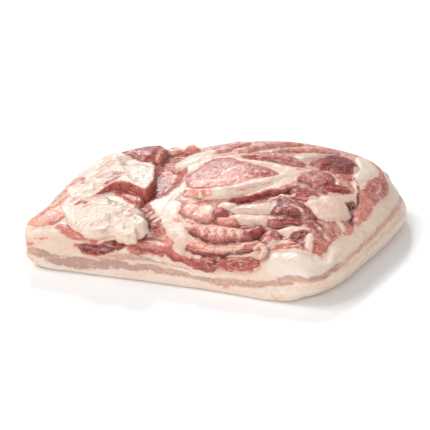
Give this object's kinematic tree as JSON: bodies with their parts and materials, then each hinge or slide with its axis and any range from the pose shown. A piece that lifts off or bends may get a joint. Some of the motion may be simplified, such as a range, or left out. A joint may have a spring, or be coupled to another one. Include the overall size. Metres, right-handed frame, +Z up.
{
  "type": "pork belly slab",
  "caption": "Raw pork belly slab: a thick rounded rectangle of fat and lean, flat underneath, with folds, strips and flaps of meat standing up on top.",
  "frame": {"origin": "centre of the slab's bounding box at the underside it rests on", "axes": "+X along the long front edge, to the slanted end; +Y from the front edge to the back edge; +Z up through the thickness"},
  "size_m": [0.327, 0.231, 0.064],
  "materials": {
    "raw_belly": "moist"
  },
  "bodies": {
    "root": {"belly_slab": "raw_belly"}
  },
  "joints": []
}
